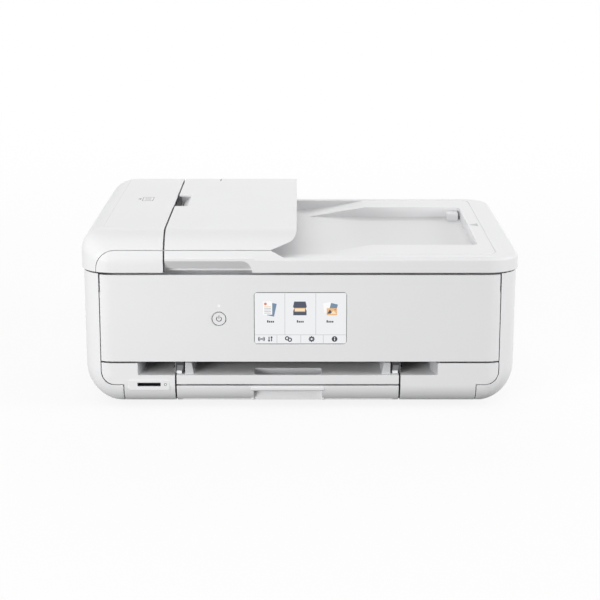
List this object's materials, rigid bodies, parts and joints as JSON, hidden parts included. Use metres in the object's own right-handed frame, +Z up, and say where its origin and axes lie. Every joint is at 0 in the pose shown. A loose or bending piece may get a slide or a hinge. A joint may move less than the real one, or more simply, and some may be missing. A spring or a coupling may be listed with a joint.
{
  "type": "inkjet printer",
  "caption": "White desktop inkjet printer with touch panel, paper cassette, pull-out output tray, flatbed scanner and a document feeder in the lid.",
  "frame": {"origin": "middle of the bounding box, on the table under the rubber feet", "axes": "+X to the right seen from the front, +Y to the back, +Z up"},
  "size_m": [0.468, 0.366, 0.193],
  "materials": {
    "white_shell": "fine matt grain",
    "white_gloss": "smooth",
    "dark_plastic": "fine grain",
    "grey_plastic": "fine grain",
    "sheet_steel": "zinc plated",
    "ground_steel": "ground",
    "rubber": "matt",
    "scanner_glass": "clear",
    "screen_glass": "lit display under clear glass",
    "pad_white": "smooth film over foam",
    "ink_tank": "smooth",
    "board_green": "solder mask",
    "light_lens": "clear"
  },
  "bodies": {
    "main_body": {"outer_case": "white_shell", "bottom_plate": "white_shell", "chassis_screws": "ground_steel", "rubber_feet": "rubber", "front_bezel_left": "white_shell", "front_bezel_right": "white_shell", "card_slot": "dark_plastic", "tray_guides": "grey_plastic", "cassette_rails": "grey_plastic", "inner_deck": "dark_plastic", "print_chassis": "sheet_steel", "carriage_shaft": "ground_steel", "carriage_belt": "rubber", "carriage_motor": "sheet_steel", "feed_motor": "sheet_steel", "platen": "dark_plastic", "purge_unit": "dark_plastic", "pickup_arm": "dark_plastic", "rear_feed_bed": "dark_plastic", "power_supply": "dark_plastic", "main_board": "board_green", "rear_sockets": "dark_plastic", "hinge_brackets": "sheet_steel"},
    "front_panel": {"panel_cover": "white_shell", "panel_back": "white_shell", "display_module": "dark_plastic", "touch_screen": "screen_glass", "status_light": "light_lens"},
    "power_button": {"power_button": "white_gloss"},
    "cassette": {"cassette": "white_shell"},
    "paper_guide_left": {"paper_guide_left": "grey_plastic"},
    "paper_guide_right": {"paper_guide_right": "grey_plastic"},
    "output_tray": {"output_tray": "white_shell"},
    "carriage": {"carriage": "dark_plastic", "print_head": "dark_plastic", "ink_tanks": "ink_tank"},
    "motor_pulley": {"motor_pulley": "pad_white"},
    "idler_pulley": {"idler_pulley": "pad_white"},
    "feed_roller": {"feed_roller": "ground_steel", "feed_gear": "pad_white"},
    "idler_gear": {"idler_gear": "pad_white"},
    "eject_roller": {"eject_roller": "rubber", "eject_gear": "pad_white"},
    "motor_pinion": {"motor_pinion": "ground_steel"},
    "pickup_roller": {"pickup_roller": "rubber"},
    "rear_tray_cover": {"rear_tray_cover": "white_shell"},
    "paper_support": {"paper_support": "grey_plastic"},
    "scanner": {"scanner_frame": "grey_plastic", "scanner_glass": "scanner_glass"},
    "scan_head": {"scan_head": "dark_plastic"},
    "document_cover": {"cover_base": "white_shell", "cover_liner": "white_shell", "pressure_pad": "pad_white", "feeder_frame": "grey_plastic"},
    "feeder_cover": {"feeder_cover": "white_shell"},
    "document_tray": {"document_tray": "white_shell"},
    "feeder_pick_roller": {"feeder_pick_roller": "rubber"},
    "feeder_drive_roller": {"feeder_drive_roller": "rubber"},
    "document_guide_front": {"document_guide_front": "grey_plastic"},
    "document_guide_back": {"document_guide_back": "grey_plastic"}
  },
  "joints": [
    {"name": "panel_tilt", "type": "hinge", "parent": "main_body", "child": "front_panel", "pos_m": [0, -0.1762, 0.1286], "axis": [-1, 0, 0], "range_deg": [0, 50]},
    {"name": "power_press", "type": "slide", "parent": "front_panel", "child": "power_button", "axis": [0, 1, 0], "range_m": [0, 0.0008], "stiffness_N_per_m": 1200, "springref_m": -0.0004},
    {"name": "cassette_slide", "type": "slide", "parent": "main_body", "child": "cassette", "axis": [0, -1, 0], "range_m": [0, 0.25]},
    {"name": "paper_guide_slide", "type": "slide", "parent": "cassette", "child": "paper_guide_left", "axis": [1, 0, 0], "range_m": [0, 0.032]},
    {"name": "paper_guide_follow", "type": "slide", "parent": "cassette", "child": "paper_guide_right", "axis": [-1, 0, 0], "range_m": [0, 0.032]},
    {"name": "tray_slide", "type": "slide", "parent": "main_body", "child": "output_tray", "axis": [0, -1, 0], "range_m": [0, 0.17]},
    {"name": "carriage_slide", "type": "slide", "parent": "main_body", "child": "carriage", "axis": [-1, 0, 0], "range_m": [0, 0.284]},
    {"name": "motor_pulley_spin", "type": "hinge", "parent": "main_body", "child": "motor_pulley", "pos_m": [-0.192, 0.096, 0.09], "axis": [0, 1, 0], "continuous": true},
    {"name": "idler_pulley_spin", "type": "hinge", "parent": "main_body", "child": "idler_pulley", "pos_m": [0.192, 0.096, 0.09], "axis": [0, 1, 0], "continuous": true},
    {"name": "feed_spin", "type": "hinge", "parent": "main_body", "child": "feed_roller", "pos_m": [0, 0.07, 0.047], "axis": [1, 0, 0], "continuous": true},
    {"name": "idler_gear_spin", "type": "hinge", "parent": "main_body", "child": "idler_gear", "pos_m": [-0.212, 0.03462, 0.05367], "axis": [1, 0, 0], "continuous": true},
    {"name": "eject_spin", "type": "hinge", "parent": "main_body", "child": "eject_roller", "pos_m": [0, 0.008, 0.045], "axis": [1, 0, 0], "continuous": true},
    {"name": "pinion_spin", "type": "hinge", "parent": "main_body", "child": "motor_pinion", "pos_m": [-0.212, 0.02048, 0.07052], "axis": [1, 0, 0], "continuous": true},
    {"name": "pickup_spin", "type": "hinge", "parent": "main_body", "child": "pickup_roller", "pos_m": [-0.01315, 0.14, 0.036], "axis": [1, 0, 0], "continuous": true},
    {"name": "scanner_lift", "type": "hinge", "parent": "main_body", "child": "scanner", "pos_m": [0, 0.1655, 0.152], "axis": [-1, 0, 0], "range_deg": [0, 20]},
    {"name": "scan_slide", "type": "slide", "parent": "scanner", "child": "scan_head", "axis": [1, 0, 0], "range_m": [0, 0.33]},
    {"name": "cover_lift", "type": "hinge", "parent": "scanner", "child": "document_cover", "pos_m": [0, 0.1655, 0.152], "axis": [-1, 0, 0], "range_deg": [0, 60]},
    {"name": "feeder_cover_lift", "type": "hinge", "parent": "document_cover", "child": "feeder_cover", "pos_m": [-0.2325, 0, 0.1512], "axis": [0, -1, 0], "range_deg": [0, 65]},
    {"name": "tray_flap", "type": "hinge", "parent": "document_cover", "child": "document_tray", "pos_m": [-0.009, 0, 0.187], "axis": [0, 1, 0], "range_deg": [0, 150]},
    {"name": "feeder_drive_spin", "type": "hinge", "parent": "document_cover", "child": "feeder_drive_roller", "pos_m": [-0.196, 0, 0.177], "axis": [0, 1, 0], "continuous": true},
    {"name": "feeder_pick_spin", "type": "hinge", "parent": "document_cover", "child": "feeder_pick_roller", "pos_m": [-0.168, 0, 0.178], "axis": [0, 1, 0], "continuous": true},
    {"name": "document_guide_slide", "type": "slide", "parent": "document_cover", "child": "document_guide_front", "axis": [0, 1, 0], "range_m": [0, 0.05]},
    {"name": "document_guide_follow", "type": "slide", "parent": "document_cover", "child": "document_guide_back", "axis": [0, -1, 0], "range_m": [0, 0.05]},
    {"name": "rear_cover_tilt", "type": "hinge", "parent": "main_body", "child": "rear_tray_cover", "pos_m": [0, 0.1815, 0.072], "axis": [-1, 0, 0], "range_deg": [0, 50]},
    {"name": "support_slide", "type": "slide", "parent": "rear_tray_cover", "child": "paper_support", "axis": [0, 0, 1], "range_m": [0, 0.06]}
  ],
  "couplings": [
    {"joint": "paper_guide_follow", "follows": "paper_guide_slide", "ratio": 1},
    {"joint": "motor_pulley_spin", "follows": "carriage_slide", "rad_per_m": 116.28},
    {"joint": "idler_pulley_spin", "follows": "carriage_slide", "rad_per_m": 116.28},
    {"joint": "idler_gear_spin", "follows": "feed_spin", "ratio": -1.25},
    {"joint": "eject_spin", "follows": "feed_spin", "ratio": 1.6667},
    {"joint": "pinion_spin", "follows": "feed_spin", "ratio": 3.3333},
    {"joint": "feeder_pick_spin", "follows": "feeder_drive_spin", "ratio": 0.875},
    {"joint": "document_guide_follow", "follows": "document_guide_slide", "ratio": 1}
  ]
}
